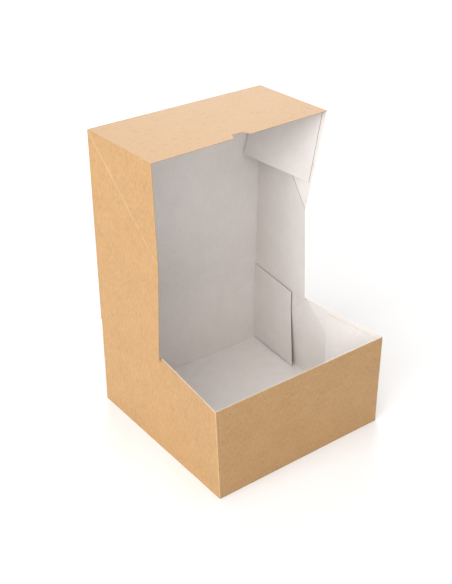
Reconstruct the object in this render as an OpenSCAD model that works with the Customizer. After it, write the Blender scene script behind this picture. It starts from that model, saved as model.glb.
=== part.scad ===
// Cake box folded from one sheet of card, shown with its hinged lid standing open.
// The tray's front is at -Y, the lid's crease runs along X at the top of the back wall.

/* [Card] */
// Thickness of the card
card_t = 0.6; // [0.4:0.05:1.2]
// Free space between the closed lid and the tray
lid_gap = 0.25; // [0.2:0.05:0.8]

/* [Tray] */
// Outside width of the tray, left to right
tray_w = 200; // [150:1:320]
// Outside depth of the tray, front to back
tray_d = 200; // [150:1:320]
// Height of the tray's walls
tray_h = 102; // [60:1:130]
// How far the middle of the left rim is bowed in
left_bow = 8; // [0:0.5:14]
// How far the middle of the right rim is bowed in
right_bow = 12; // [0:0.5:14]

/* [Lid] */
// Height of the closed lid's free edges above the table
lid_foot = 1; // [0.5:0.5:10]
// Width of the thumb notch at the lid's free edge
notch_w = 20; // [12:1:40]
// Width of the thumb notch at its inner end
notch_inner_w = 12; // [6:1:30]
// Depth of the thumb notch
notch_depth = 8; // [4:0.5:15]

/* [Glue tabs] */
// Length of each glue tab from its fold
tab_l = 74; // [30:1:74]
// Distance from the tray's rim down to a glue tab's upper edge
tab_drop = 4.5; // [2:0.5:12]
// Free space under the tray's glue tabs
tab_lift = 1.2; // [0.5:0.1:4]
// Distance of the lid's glue tabs from the lid's free edge
tab_inset = 5; // [2:0.5:12]

/* [Creases] */
// Width of the scored crease lines
score_w = 0.9; // [0.5:0.1:1.5]
// Depth of the scored crease lines
score_depth = 0.15; // [0.05:0.05:0.2]

/* [Hidden] */

kraft = [0.83, 0.66, 0.45];
// Glued layers share this much so that they are one solid
glue = 0.05;

half_w = tray_w / 2;
half_d = tray_d / 2;

// The lid turns about the middle of the card at the top of the back wall
hinge_y = half_d - card_t / 2;
hinge_z = tray_h + lid_gap + card_t / 2;

// The lid closes over the tray, and its glue tabs pass between the two
lid_half_w = half_w + lid_gap + 2 * card_t;
lid_top = hinge_z + hinge_y + half_d + lid_gap + card_t;
lid_depth = tray_h + lid_gap + card_t - lid_foot;
lid_front = half_d - lid_depth;

// A flat outline at the right side, thickened towards the middle of the box.
// Its points run clockwise as seen from the right, and faces lists its triangles.
module side_sheet(points, faces) {
    count = len(points);
    inner = [for (p = points) p - [card_t, 0, 0]];
    backs = [for (f = faces) [f[2] + count, f[1] + count, f[0] + count]];
    rims = [for (i = [0 : count - 1])
        let (next = (i + 1) % count)
        [next, i, i + count, next + count]];
    polyhedron(points = concat(points, inner), faces = concat(faces, backs, rims));
}

// Side wall with its two diagonal folds, which meet at the middle of the rim
module tray_side(bow) {
    points = [
        [half_w, -half_d, 0],
        [half_w, -half_d, tray_h],
        [half_w - bow, 0, tray_h],
        [half_w, half_d, tray_h],
        [half_w, half_d, 0]
    ];
    side_sheet(points, [[0, 1, 2], [0, 2, 4], [2, 3, 4]]);
}

// Glue tab of the back wall, flat against the upper corner of the side wall.
// Below the diagonal fold it stands off the wall.
module tray_tab(bow) {
    at_fold = half_w - card_t + glue;
    at_end = at_fold - bow * tab_l / half_d;
    low = card_t + tab_lift;
    high = tray_h - tab_drop;
    points = [
        [at_end, half_d - tab_l, low],
        [at_end, half_d - tab_l, high],
        [at_fold, half_d, high],
        [at_fold, half_d, low]
    ];
    side_sheet(points, [[0, 1, 2], [0, 2, 3]]);
}

module tray_right_half(bow) {
    tray_side(bow);
    tray_tab(bow);
    mirror([0, 1, 0]) tray_tab(bow);
}

module tray_floor() {
    translate([-half_w, -half_d, 0])
        cube([tray_w, tray_d, card_t]);
}

module tray_front_wall() {
    translate([-half_w + card_t / 2, -half_d, 0])
        cube([tray_w - card_t, card_t, tray_h]);
}

// The back wall runs up into the rounded crease that carries the lid
module tray_back_wall() {
    translate([-half_w, half_d - card_t, 0])
        cube([tray_w, card_t, hinge_z]);
    translate([-half_w, hinge_y, hinge_z])
        rotate([0, 90, 0])
            cylinder(d = card_t, h = tray_w, $fn = 32);
}

module tray() {
    color(kraft) {
        tray_floor();
        tray_front_wall();
        tray_back_wall();
        tray_right_half(right_bow);
        mirror([1, 0, 0]) tray_right_half(left_bow);
    }
}

module lid_panel() {
    start = hinge_z + card_t / 2 + lid_gap;
    translate([-lid_half_w, half_d - card_t, start])
        cube([2 * lid_half_w, card_t, lid_top - start]);
}

// Front wall of the lid, level while the lid stands open, with its thumb notch
module lid_front_wall() {
    outline = [
        [-lid_half_w, lid_front],
        [-notch_w / 2, lid_front],
        [-notch_inner_w / 2, lid_front + notch_depth],
        [notch_inner_w / 2, lid_front + notch_depth],
        [notch_w / 2, lid_front],
        [lid_half_w, lid_front],
        [lid_half_w, half_d],
        [-lid_half_w, half_d]
    ];
    translate([0, 0, lid_top - card_t])
        linear_extrude(card_t) polygon(outline);
}

// Side wall of the lid with the diagonal crease scored in its outer face
module lid_side() {
    length = 1.5 * lid_depth;
    difference() {
        translate([lid_half_w - card_t, lid_front, tray_h])
            cube([card_t, lid_depth, lid_top - tray_h]);
        translate([lid_half_w, half_d, lid_top])
            rotate([45, 0, 0])
                translate([-score_depth, -length, -score_w / 2])
                    cube([1, length, score_w]);
    }
}

// Glue tab of the lid's front wall, inside the side wall
module lid_tab() {
    translate([lid_half_w - 2 * card_t + glue, lid_front + tab_inset, lid_top - tab_l])
        cube([card_t, lid_depth - tab_inset - card_t - tab_lift, tab_l - card_t / 2]);
}

module lid() {
    color(kraft) {
        lid_panel();
        lid_front_wall();
        for (side = [0, 1]) {
            mirror([side, 0, 0]) {
                lid_side();
                lid_tab();
            }
        }
    }
}

tray();
lid();
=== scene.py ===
# Kraft cake box standing open on a pale floor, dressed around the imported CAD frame.
# Lengths in the tables below are millimetres in the CAD frame. MM turns them into metres.

import math

import bmesh
import bpy
from mathutils import Matrix, Vector, noise


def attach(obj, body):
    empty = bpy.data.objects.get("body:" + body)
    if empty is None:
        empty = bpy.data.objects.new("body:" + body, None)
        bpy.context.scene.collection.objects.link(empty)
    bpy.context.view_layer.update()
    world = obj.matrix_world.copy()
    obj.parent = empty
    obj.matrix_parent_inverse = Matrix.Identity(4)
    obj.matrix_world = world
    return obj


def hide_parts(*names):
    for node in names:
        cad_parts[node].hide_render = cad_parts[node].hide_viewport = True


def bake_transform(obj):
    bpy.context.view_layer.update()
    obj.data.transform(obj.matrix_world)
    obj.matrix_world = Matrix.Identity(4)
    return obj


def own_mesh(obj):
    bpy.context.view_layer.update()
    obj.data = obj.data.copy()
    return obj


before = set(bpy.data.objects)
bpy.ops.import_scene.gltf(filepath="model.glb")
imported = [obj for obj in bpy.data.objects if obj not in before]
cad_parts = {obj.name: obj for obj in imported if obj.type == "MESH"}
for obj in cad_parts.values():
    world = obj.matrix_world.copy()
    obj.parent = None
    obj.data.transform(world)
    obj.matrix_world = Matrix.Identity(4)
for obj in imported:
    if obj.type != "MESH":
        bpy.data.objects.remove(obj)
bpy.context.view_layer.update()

MM = 0.001

# Card and box sizes, as in the part's source
CARD = 0.6
HALF_W = 100.0
HALF_D = 100.0
TRAY_H = 102.0
LID_HALF_W = 101.45
LID_TOP = 303.1
LID_FRONT = -1.85
PANEL_START = 103.1
RIGHT_BOW = 12.0
TAB_L = 74.0
TAB_DROP = 4.5
TAB_LIFT = 1.2
LID_TAB_INSET = 5.0
NOTCH_W = 20.0
NOTCH_INNER_W = 12.0
NOTCH_DEPTH = 8.0

# The middle of the card in each wall
SIDE = HALF_W - CARD / 2
WALL = HALF_D - CARD / 2
FLOOR_Z = CARD / 2
RIM = TRAY_H
# Glued layers stand this far apart, from middle to middle
LAYER = CARD + 0.02
INNER = SIDE - LAYER
LID_SIDE = LID_HALF_W - CARD / 2
LID_INNER = LID_SIDE - LAYER
LID_Z = LID_TOP - CARD / 2
FOLD_RETURN = 1.2

# How the free card has moved in the photo
LEFT_RIM_BOW = 5.3
LEFT_CORNER_FLARE = 4.6
LID_LEFT_LEAN = 2.6
LID_RIGHT_LIFT = 2.6
FRONT_TAB_L = 70.0
TAB_STAND_OFF = 0.6
BACK_TAB_DROOP = 4.6
SCORE_RISE = 1.1
WRAP_W = 2.0
WRAP_DEPTH = 0.08

# Corners of the lid's bent right wall: front top, end of the diagonal fold, front and back bottom
RIGHT_TOP = (101.15, -1.55, 305.4)
RIGHT_FOLD_END = (82.2, 2.2, 206.6)
RIGHT_LOW = (84.3, -0.7, 102.9)
PANEL_LOW_HALF = 100.35
RIGHT_BACK_LOW = (PANEL_LOW_HALF, WALL, 101.5)

# Lower corners of the lid's right glue tab, which hangs off the wall: near the panel, at the front
RIGHT_TAB_NEAR = (79.4, 98.0, 233.6)
RIGHT_TAB_FAR = (86.8, 3.5, 233.4)

# Corners of the lid's left wall, which overlaps the tray a little
LEFT_FOLD_END = (-95.3, LID_FRONT, 202.0)
LEFT_LOW = (-98.2, LID_FRONT, 99.3)
LEFT_BACK_LOW = (-PANEL_LOW_HALF, WALL, 98.8)

# Slots of every card mesh. The white side of an outside slot comes two slots after it.
KRAFT = 0
# Slot 1 is the crease colour: painted highlight along the outside of folds; its white side, slot 3,
# is painted shade along their inside.
KRAFT_CREASE_HIGHLIGHT = 1
# Slot 4 is the score colour: a painted highlight line on the kraft side; its white side, slot 6, is
# a painted shade line.
KRAFT_SCORE_HIGHLIGHT = 4
LIGHT_RIM = 5
# Slot 7: the board's brownish cut edge, made darker still as painted shade on the lid's edges.
BROWN_AND_SHADE_RIM = 7
# Slot 8: painted shade, the dark gap line where a glue tab stands off its wall.
SHADE_GAP_RIM = 8


# Materials

def new_material(name):
    material = bpy.data.materials.new(name)
    material.use_nodes = True
    nodes = material.node_tree.nodes
    shader = nodes["Principled BSDF"]
    return material, nodes, material.node_tree.links, shader


def noise_node(nodes, links, mapping, scale, detail=3.0, rough=0.55):
    texture = nodes.new("ShaderNodeTexNoise")
    texture.inputs["Scale"].default_value = scale
    texture.inputs["Detail"].default_value = detail
    texture.inputs["Roughness"].default_value = rough
    links.new(mapping.outputs[0], texture.inputs["Vector"])
    return texture


def stretched(nodes, links, scale):
    coordinates = nodes.new("ShaderNodeTexCoord")
    mapping = nodes.new("ShaderNodeMapping")
    mapping.inputs["Scale"].default_value = scale
    links.new(coordinates.outputs["Object"], mapping.inputs["Vector"])
    return mapping


def ramp(nodes, links, source, stops):
    ramp_node = nodes.new("ShaderNodeValToRGB")
    elements = ramp_node.color_ramp.elements
    while len(elements) < len(stops):
        elements.new(0.5)
    for element, (place, colour) in zip(elements, stops):
        element.position = place
        element.color = (*colour, 1.0)
    links.new(source, ramp_node.inputs["Fac"])
    return ramp_node


def multiply(nodes, links, a, b, factor):
    mix = nodes.new("ShaderNodeMix")
    mix.data_type = "RGBA"
    mix.blend_type = "MULTIPLY"
    mix.inputs["Factor"].default_value = factor
    links.new(a, mix.inputs["A"])
    links.new(b, mix.inputs["B"])
    return mix.outputs["Result"]


def card_material(name, dark, light, mottle, fibre, bump, roughness, specular):
    """Board: a base colour with soft mottling, short fibres and a fine grain."""
    material, nodes, links, shader = new_material(name)
    plain = stretched(nodes, links, (1.0, 1.0, 1.0))
    along = stretched(nodes, links, (1.0, 1.0, 0.22))
    across = stretched(nodes, links, (0.22, 0.3, 1.0))
    cloud = noise_node(nodes, links, plain, 55.0, 4.0)
    grain = noise_node(nodes, links, along, 900.0, 3.0, 0.65)
    hair = noise_node(nodes, links, across, 620.0, 2.0, 0.6)
    base = ramp(nodes, links, cloud.outputs["Fac"], [(0.35, dark), (0.65, light)])
    low = 1.0 - mottle
    grain_ramp = ramp(nodes, links, grain.outputs["Fac"], [(0.3, (low,) * 3), (0.7, (1.0,) * 3)])
    thin = 1.0 - fibre
    hair_ramp = ramp(nodes, links, hair.outputs["Fac"], [(0.28, (thin,) * 3), (0.42, (1.0,) * 3)])
    colour = multiply(nodes, links, base.outputs["Color"], grain_ramp.outputs["Color"], 1.0)
    colour = multiply(nodes, links, colour, hair_ramp.outputs["Color"], 1.0)
    links.new(colour, shader.inputs["Base Color"])
    bump_node = nodes.new("ShaderNodeBump")
    bump_node.inputs["Strength"].default_value = bump
    bump_node.inputs["Distance"].default_value = 0.0001
    links.new(grain.outputs["Fac"], bump_node.inputs["Height"])
    links.new(bump_node.outputs["Normal"], shader.inputs["Normal"])
    rough = nodes.new("ShaderNodeMapRange")
    rough.inputs["To Min"].default_value = roughness - 0.06
    rough.inputs["To Max"].default_value = roughness + 0.06
    links.new(cloud.outputs["Fac"], rough.inputs["Value"])
    links.new(rough.outputs["Result"], shader.inputs["Roughness"])
    shader.inputs["Specular IOR Level"].default_value = specular
    return material


kraft = card_material(
    "kraft_outside", (0.493, 0.281, 0.110), (0.521, 0.301, 0.123), 0.26, 0.14, 0.4, 0.55, 0.5
)
# Crease: the kraft made lighter as a painted highlight along folds.
kraft_crease_highlight = card_material(
    "kraft_crease_highlight", (0.53, 0.345, 0.175), (0.57, 0.375, 0.195), 0.08, 0.05, 0.3, 0.7, 0.3
)
white = card_material(
    "white_inside", (0.765, 0.722, 0.695), (0.795, 0.752, 0.725), 0.055, 0.04, 0.3, 0.58, 0.4
)
# Crease on the white side: painted shade, much darker than the lining, along the inside of folds.
white_crease_shade = card_material(
    "white_crease_shade", (0.46, 0.42, 0.39), (0.50, 0.46, 0.43), 0.05, 0.03, 0.3, 0.65, 0.3
)
raw_edge = card_material(
    "raw_edge", (0.77, 0.69, 0.58), (0.83, 0.75, 0.64), 0.10, 0.06, 0.4, 0.85, 0.2
)
# Cut edge: partly the board's brownish edge colour, partly painted shade that keeps the lid's top
# edges from looking lit.
brown_edge_and_shade = card_material(
    "brown_edge_and_shade", (0.44, 0.31, 0.20), (0.50, 0.36, 0.24), 0.12, 0.08, 0.4, 0.85, 0.2
)
# Painted shade: near-black edge standing in for the shadow gap between a glue tab and its wall.
shade_gap_edge = card_material(
    "shade_gap_edge", (0.20, 0.14, 0.095), (0.25, 0.18, 0.12), 0.12, 0.08, 0.4, 0.85, 0.2
)
# Score: kraft made a little lighter, a painted highlight along the scored folds.
kraft_score_highlight = card_material(
    "kraft_score_highlight", (0.485, 0.288, 0.124), (0.515, 0.310, 0.137), 0.14, 0.09, 0.35, 0.6, 0.45
)
# Score on the white side: painted shade along the inside of the scored folds.
white_score_shade = card_material(
    "white_score_shade", (0.70, 0.66, 0.63), (0.73, 0.69, 0.66), 0.05, 0.04, 0.3, 0.6, 0.35
)
CARD_SLOTS = [
    kraft, kraft_crease_highlight, white, white_crease_shade, kraft_score_highlight, raw_edge, white_score_shade, brown_edge_and_shade,
    shade_gap_edge,
]


# Card sheets

def wave(p):
    """Small unevenness of the board, the same for every piece at one place, in millimetres."""
    field = noise.noise_vector(Vector(p) / 62.0)
    lift = min(1.0, max(0.0, p[2] / 12.0))
    return Vector((0.07 * field.x, 0.14 * field.y, 0.14 * lift * field.z))


def thicken(name, panels, inside, rim=LIGHT_RIM, fold_width=0.35):
    """One card sheet from flat panels of its middle surface.

    panels is a list of (material, corners). Panels that share an edge share its two corners.
    inside is a point on the white side, which settles which way the sheet faces.
    """
    mesh = bpy.data.meshes.new(name)
    form = bmesh.new()
    known = {}
    for index, corners in panels:
        ring = []
        for corner in corners:
            key = tuple(round(value, 3) for value in corner)
            if key not in known:
                known[key] = form.verts.new(corner)
            ring.append(known[key])
        face = form.faces.new(ring)
        face.material_index = index
    bmesh.ops.recalc_face_normals(form, faces=form.faces)
    form.normal_update()
    inward = sum(
        (Vector(inside) - face.calc_center_median()).dot(face.normal) * face.calc_area()
        for face in form.faces
    )
    if inward > 0:
        bmesh.ops.reverse_faces(form, faces=form.faces)
    form.normal_update()
    folds = [
        edge for edge in form.edges
        if len(edge.link_faces) == 2 and edge.calc_face_angle(0.0) > math.radians(40)
    ]
    if folds:
        # The fold bevels take the crease slot: painted highlight outside, painted shade on the
        # white side.
        bmesh.ops.bevel(
            form, geom=folds, offset=fold_width, segments=3, profile=0.5,
            affect="EDGES", clamp_overlap=True, material=KRAFT_CREASE_HIGHLIGHT,
        )
    bmesh.ops.dissolve_degenerate(form, dist=0.02, edges=form.edges)
    bmesh.ops.triangulate(form, faces=form.faces, quad_method="BEAUTY", ngon_method="BEAUTY")
    form.to_mesh(mesh)
    form.free()
    sheet = bpy.data.objects.new(name, mesh)
    bpy.context.scene.collection.objects.link(sheet)
    for material in CARD_SLOTS:
        mesh.materials.append(material)
    finer = sheet.modifiers.new("finer", "SUBSURF")
    finer.subdivision_type = "SIMPLE"
    finer.levels = 3
    finer.render_levels = 3
    solid = sheet.modifiers.new("solid", "SOLIDIFY")
    solid.thickness = CARD
    solid.offset = 0.0
    solid.use_even_offset = False
    solid.material_offset = 2
    solid.material_offset_rim = rim
    bpy.context.view_layer.update()
    shaped = sheet.evaluated_get(bpy.context.evaluated_depsgraph_get())
    final = bpy.data.meshes.new_from_object(shaped)
    sheet.modifiers.clear()
    sheet.data = final
    final.name = name
    bpy.data.meshes.remove(mesh)
    for vertex in final.vertices:
        vertex.co = (vertex.co + wave(vertex.co)) * MM
    final.polygons.foreach_set("use_smooth", [True] * len(final.polygons))
    final.set_sharp_from_angle(angle=math.radians(32))
    return sheet


def along(a, b, share):
    return tuple(p + (q - p) * share for p, q in zip(a, b))


def mirrored(panels):
    return [(index, [(-x, y, z) for x, y, z in corners]) for index, corners in panels]


def tab_start(z_low, z_high, corner_y, sign):
    """The short return of a front or back wall, round the fold where its glue tab begins."""
    y = corner_y - math.copysign(FOLD_RETURN, corner_y)
    return [
        (sign * INNER, corner_y, z_low), (sign * INNER, corner_y, z_high),
        (sign * INNER, y, z_high), (sign * INNER, y, z_low),
    ]


def tray_tab(bow, side, end, length=TAB_L, droop=0.0, flare=0.0):
    """Glue tab at one corner of the tray, in the plane of the upper corner of the side wall.

    droop is how far its lower free corner has come back towards the wall. The tab bends along
    the wall's diagonal fold for that. flare is how far the corner's top stands out.
    """
    low = FLOOR_Z + CARD / 2 + TAB_LIFT
    high = TRAY_H - TAB_DROP
    slope = (bow + flare) / HALF_D
    first = WALL - FOLD_RETURN
    last = HALF_D - length
    x_first = INNER - slope * (HALF_D - first)
    x_last = INNER - TAB_STAND_OFF - slope * (HALF_D - last)
    bend = FLOOR_Z + (RIM - FLOOR_Z) * (WALL - last) / WALL

    def corner(x, y, z):
        return (side * (x + flare * z / TRAY_H), end * y, z)

    first_low = corner(x_first, first, low)
    last_bend = corner(x_last, last, bend)
    return [
        (KRAFT, [first_low, corner(x_first, first, high), corner(x_last, last, high), last_bend]),
        (KRAFT, [first_low, last_bend, corner(x_last + droop, last, low)]),
    ]


def tray_side(bow, side, front_flare=0.0):
    """Side wall with its two diagonal folds, which meet at the middle of the rim.

    Each fold is scored: a narrow strip of crease runs along its upper side.
    """
    front_low = (side * SIDE, -WALL, FLOOR_Z)
    back_low = (side * SIDE, WALL, FLOOR_Z)
    front_high = (side * (SIDE + front_flare), -WALL, RIM)
    back_high = (side * SIDE, WALL, RIM)
    middle = (side * (SIDE - bow), 0.0, RIM)
    panels = [(KRAFT, [front_low, back_low, middle])]
    for low_corner, high_corner in ((front_low, front_high), (back_low, back_high)):
        edge_start = along(low_corner, high_corner, SCORE_RISE / TRAY_H)
        rim_end = along(middle, high_corner, SCORE_RISE / HALF_D)
        # The score strip is coloured as a painted highlight outside and painted shade on the white
        # side.
        panels.append((KRAFT_SCORE_HIGHLIGHT, [low_corner, middle, rim_end, edge_start]))
        panels.append((KRAFT, [edge_start, rim_end, high_corner]))
    return panels


def corner_wrap(flare):
    """Strip of the left wall's sheet round the front corner, just under the front wall's face."""
    low_corner = (-SIDE, -WALL, FLOOR_Z)
    high_corner = (-SIDE - flare, -WALL, RIM)
    y = -WALL + WRAP_DEPTH
    return (KRAFT, [
        low_corner, along(low_corner, high_corner, SCORE_RISE / TRAY_H), high_corner,
        (-SIDE + WRAP_W, y, RIM), (-SIDE + WRAP_W, y, FLOOR_Z),
    ])


low = FLOOR_Z + CARD / 2 + TAB_LIFT
high = TRAY_H - TAB_DROP

floor = [
    (-INNER, -WALL, FLOOR_Z), (INNER, -WALL, FLOOR_Z), (SIDE, -WALL, FLOOR_Z),
    (SIDE, WALL, FLOOR_Z), (INNER, WALL, FLOOR_Z), (-INNER, WALL, FLOOR_Z),
    (-SIDE, WALL, FLOOR_Z), (-SIDE, -WALL, FLOOR_Z),
]


def upright(y, top):
    """Front or back wall, with the ends of its glue tabs' folds as corners."""
    return [
        (-INNER, y, FLOOR_Z), (-INNER, y, low), (-INNER, y, high), (-INNER, y, top),
        (INNER, y, top), (INNER, y, high), (INNER, y, low), (INNER, y, FLOOR_Z),
    ]


tray_panels = [
    (KRAFT, floor), (KRAFT, upright(-WALL, RIM)), (KRAFT, upright(WALL, RIM)),
    (KRAFT, tab_start(low, high, -WALL, 1)),
    (KRAFT, tab_start(low, high, WALL, -1)),
    (KRAFT, tab_start(low, high, WALL, 1)),
]
tray_panels += tray_side(RIGHT_BOW, 1)
tray_card = thicken("tray_card", tray_panels, (0, 0, 60))

tray_pieces = [tray_card]
front_tab = tray_tab(RIGHT_BOW, 1, -1, FRONT_TAB_L)
tray_pieces.append(thicken("tray_right_tab_front", front_tab, (0, 0, 60)))
back_tab = tray_tab(RIGHT_BOW, 1, 1, TAB_L, BACK_TAB_DROOP)
# The back tab's cut edges are painted shade: a dark line for the gap where it stands off the wall.
tray_pieces.append(thicken("tray_right_tab_back", back_tab, (0, 0, 60), SHADE_GAP_RIM))

left_panels = tray_side(LEFT_RIM_BOW, -1, LEFT_CORNER_FLARE)
left_panels.append(corner_wrap(LEFT_CORNER_FLARE))
tray_left_wall = thicken("tray_left_wall", left_panels, (0, 0, 60))
tray_pieces.append(tray_left_wall)
left_tabs = []
for end, where, flare in ((-1, "front", LEFT_CORNER_FLARE), (1, "back", 0.0)):
    panels = tray_tab(LEFT_RIM_BOW, -1, end, flare=flare)
    tab = thicken("tray_left_tab_" + where, panels, (0, 0, 60))
    left_tabs.append(tab)
    tray_pieces.append(tab)

# Lid: the standing panel, the level front wall with its notch, and the starts of the side walls
panel_top_left = (-LID_SIDE, WALL, LID_Z)
panel_top_right = (LID_SIDE, WALL, LID_Z)
back_panel = [
    (-PANEL_LOW_HALF, WALL, PANEL_START), (-LID_SIDE, WALL, LID_Z),
    (LID_SIDE, WALL, LID_Z), (PANEL_LOW_HALF, WALL, PANEL_START),
]
front_left = (-LID_HALF_W + LID_LEFT_LEAN, LID_FRONT, LID_Z)
front_right = (LID_HALF_W, LID_FRONT, LID_Z + LID_RIGHT_LIFT)


def on_front(x, depth):
    """A point of the lid's front wall at x, this far in from its free edge."""
    share = (x - front_left[0]) / (front_right[0] - front_left[0])
    edge = along(front_left, front_right, share)
    back_share = depth / (WALL - LID_FRONT)
    return along(edge, (x, WALL, LID_Z), back_share)


front_wall = [
    panel_top_left, front_left,
    on_front(-NOTCH_W / 2, 0), on_front(-NOTCH_INNER_W / 2, NOTCH_DEPTH),
    on_front(NOTCH_INNER_W / 2, NOTCH_DEPTH), on_front(NOTCH_W / 2, 0),
    front_right, panel_top_right,
]
lid_panels = [(KRAFT, back_panel), (KRAFT, front_wall)]
for sign in (-1, 1):
    lid_panels.append((KRAFT, [
        (sign * PANEL_LOW_HALF, WALL, PANEL_START), (sign * LID_SIDE, WALL, LID_Z),
        (sign * LID_SIDE, WALL - FOLD_RETURN, LID_Z),
        (sign * PANEL_LOW_HALF, WALL - FOLD_RETURN, PANEL_START),
    ]))
# Its cut edges are brown: partly the board's edge colour, partly painted shade.
lid_card = thicken("lid_card", lid_panels, (0, 40, 200), BROWN_AND_SHADE_RIM)


def creased_side(top, low_corner, free_top, fold_end, free_low):
    """Side wall of the lid with the diagonal crease as a narrow groove of its own."""
    half = 0.45 / math.dist(top, free_top) * math.sqrt(2)
    above = along(top, free_top, half)
    below = along(top, low_corner, half)
    end_above = along(fold_end, free_top, half)
    end_below = along(fold_end, free_low, half)
    # The crease strips take the crease slot: painted highlight outside, painted shade on the white
    # side.
    return [
        (KRAFT, [above, free_top, end_above]),
        (KRAFT_CREASE_HIGHLIGHT, [top, above, end_above, fold_end]),
        (KRAFT_CREASE_HIGHLIGHT, [top, fold_end, end_below, below]),
        (KRAFT, [below, end_below, low_corner]),
        (KRAFT, [low_corner, end_below, free_low]),
    ]


side_start = WALL
left_top = (-LID_SIDE, side_start, LID_Z + 0.1)
left_free_top = (-LID_SIDE + LID_LEFT_LEAN, LID_FRONT, LID_Z + 0.1)
left_wall = creased_side(left_top, LEFT_BACK_LOW, left_free_top, LEFT_FOLD_END, LEFT_LOW)
# Its cut edges are brown: partly the board's edge colour, partly painted shade over the lit top
# edge.
lid_left_wall = thicken("lid_left_wall", left_wall, (0, 40, 200), BROWN_AND_SHADE_RIM)
right_top = (LID_SIDE, side_start, LID_Z + 0.1)
right_wall = creased_side(right_top, RIGHT_BACK_LOW, RIGHT_TOP, RIGHT_FOLD_END, RIGHT_LOW)
lid_right_wall = thicken("lid_right_wall", right_wall, (0, 40, 200))


def lid_tab(side, top, free_top, fold_end):
    """Glue tab of the lid's front wall, flat against the upper corner of the side wall."""
    a = Vector(top)
    u = (Vector(free_top) - a).normalized()
    w = Vector(fold_end) - a
    v = (w - u * w.dot(u)).normalized()
    inward = u.cross(v).normalized()
    if inward.x * side > 0:
        inward = -inward
    origin = a + inward * LAYER - v * 0.0
    near = TAB_LIFT + CARD
    far = (Vector(free_top) - a).length - LID_TAB_INSET
    corners = [(near, 0.4), (far, 0.4), (far, TAB_L), (near, TAB_L)]
    return [tuple(origin + u * s + v * t) for s, t in corners]


left_tab = lid_tab(
    -1, (-LID_SIDE, side_start, LID_Z), (-LID_SIDE + LID_LEFT_LEAN, LID_FRONT, LID_Z), LEFT_FOLD_END
)
lid_left_tab = thicken("lid_left_tab", [(KRAFT, left_tab)], (0, 40, 260))
right_tab = lid_tab(1, (LID_SIDE, side_start, LID_Z), RIGHT_TOP, RIGHT_FOLD_END)[:2]
right_tab += [RIGHT_TAB_FAR, RIGHT_TAB_NEAR]
# The tab's cut edges are painted shade: a dark line for the gap where it stands off the wall.
lid_right_tab = thicken("lid_right_tab", [(KRAFT, right_tab)], (0, 40, 260), SHADE_GAP_RIM)

# The crease between the tray's back wall and the lid panel, as a flat strip in six steps
crease_steps = 6
crease_panels = []
for step in range(crease_steps):
    z0 = RIM - 0.02 + (PANEL_START - RIM + 0.04) * step / crease_steps
    z1 = RIM - 0.02 + (PANEL_START - RIM + 0.04) * (step + 1) / crease_steps
    crease_panels.append((KRAFT, [
        (-SIDE, WALL, z0), (SIDE, WALL, z0), (SIDE, WALL, z1), (-SIDE, WALL, z1),
    ]))
hinge_crease = thicken("hinge_crease", crease_panels, (0, 0, 100))


# Bodies

for piece in tray_pieces:
    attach(piece, "tray")
    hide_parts("tray")
lid_pieces = [lid_card, lid_left_wall, lid_right_wall, lid_left_tab, lid_right_tab]
for piece in lid_pieces:
    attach(piece, "lid")
    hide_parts("lid")
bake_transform(hinge_crease)

# Card that the lid straightens when it turns, moving across the box towards its flat plane; here
# each piece only gets a mesh of its own
for piece in [tray_left_wall] + left_tabs:
    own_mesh(piece)
for piece in (lid_left_wall, lid_left_tab):
    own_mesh(piece)
for piece in (lid_right_wall, lid_right_tab):
    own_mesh(piece)


# Floor, world and lamps

def floor_material():
    """Pale floor with the box's soft shadow, lifted to white far from the lamps."""
    material, nodes, links, shader = new_material("studio_floor")
    shader.inputs["Base Color"].default_value = (0.83, 0.83, 0.83, 1.0)
    shader.inputs["Roughness"].default_value = 0.9
    shader.inputs["Specular IOR Level"].default_value = 0.1
    path = nodes.new("ShaderNodeLightPath")
    seen = nodes.new("ShaderNodeMath")
    seen.operation = "MAXIMUM"
    links.new(path.outputs["Is Camera Ray"], seen.inputs[0])
    links.new(path.outputs["Is Glossy Ray"], seen.inputs[1])
    place = nodes.new("ShaderNodeTexCoord")
    reach = nodes.new("ShaderNodeVectorMath")
    reach.operation = "LENGTH"
    links.new(place.outputs["Object"], reach.inputs[0])
    far = nodes.new("ShaderNodeMapRange")
    far.inputs["From Min"].default_value = 0.5
    far.inputs["From Max"].default_value = 2.5
    far.inputs["To Max"].default_value = 0.8
    links.new(reach.outputs["Value"], far.inputs["Value"])
    lift = nodes.new("ShaderNodeMath")
    lift.operation = "MULTIPLY"
    links.new(seen.outputs[0], lift.inputs[0])
    links.new(far.outputs["Result"], lift.inputs[1])
    shader.inputs["Emission Color"].default_value = (1.0, 1.0, 1.0, 1.0)
    links.new(lift.outputs[0], shader.inputs["Emission Strength"])
    return material


def studio_floor():
    mesh = bpy.data.meshes.new("studio_floor")
    form = bmesh.new()
    bmesh.ops.create_grid(form, x_segments=8, y_segments=8, size=8.0)
    form.to_mesh(mesh)
    form.free()
    plane = bpy.data.objects.new("studio_floor", mesh)
    bpy.context.scene.collection.objects.link(plane)
    mesh.materials.append(floor_material())
    plane.location.z = -0.0003


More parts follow.
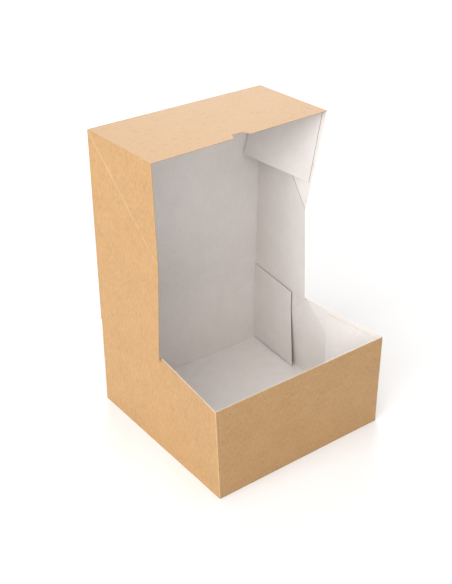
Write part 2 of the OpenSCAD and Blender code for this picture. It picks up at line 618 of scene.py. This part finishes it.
def studio_world():
    world = bpy.data.worlds.new("studio_world")
    bpy.context.scene.world = world
    world.use_nodes = True
    nodes = world.node_tree.nodes
    links = world.node_tree.links
    background = nodes["Background"]
    background.inputs["Color"].default_value = (1.0, 1.0, 1.0, 1.0)
    path = nodes.new("ShaderNodeLightPath")
    strength = nodes.new("ShaderNodeMapRange")
    strength.inputs["To Min"].default_value = WORLD_LIGHT
    strength.inputs["To Max"].default_value = 1.0
    links.new(path.outputs["Is Camera Ray"], strength.inputs["Value"])
    links.new(strength.outputs["Result"], background.inputs["Strength"])


def soft_lamp(name, place, target, size, watts, colour=(1.0, 1.0, 1.0)):
    lamp = bpy.data.lights.new(name, "AREA")
    lamp.shape = "SQUARE"
    lamp.size = size
    lamp.energy = watts
    lamp.color = colour
    holder = bpy.data.objects.new(name, lamp)
    holder.location = place
    aim = Vector(target) - Vector(place)
    holder.rotation_euler = aim.to_track_quat("-Z", "Y").to_euler()
    bpy.context.scene.collection.objects.link(holder)


WORLD_LIGHT = 0.37
LAMPS = [
    ("key_left", (-2.4, -0.3, 0.9), (0, 0, 0.12), 1.8, 42.0),
    ("top_soft", (-0.2, -0.2, 2.4), (0, 0, 0.1), 1.6, 24.0),
    ("camera_soft", (-1.3, -1.8, 1.5), (0, 0, 0.1), 2.4, 27.0),
    ("left_front", (-2.2, -1.1, 1.7), (0, 0, 0.1), 2.0, 18.0),
    ("back_sheen", (1.5, 2.0, 1.6), (0, 0, 0.3), 1.6, 44.0),
]
studio_floor()
studio_world()
for lamp in LAMPS:
    soft_lamp(*lamp)


# Camera at the photo's viewing angle

PHOTO_H = 584
FOCAL_PX = 1037.7
camera_data = bpy.data.cameras.new("camera")
camera_data.sensor_width = 36.0
camera_data.sensor_fit = "AUTO"
camera_data.lens = FOCAL_PX * 36.0 / PHOTO_H
camera = bpy.data.objects.new("camera", camera_data)
camera.location = (-0.5394, -0.6908, 0.6528)
camera.rotation_euler = (math.radians(59.726), math.radians(-0.019), math.radians(-37.063))
bpy.context.scene.collection.objects.link(camera)
bpy.context.scene.camera = camera

bpy.context.scene.view_settings.view_transform = "Standard"
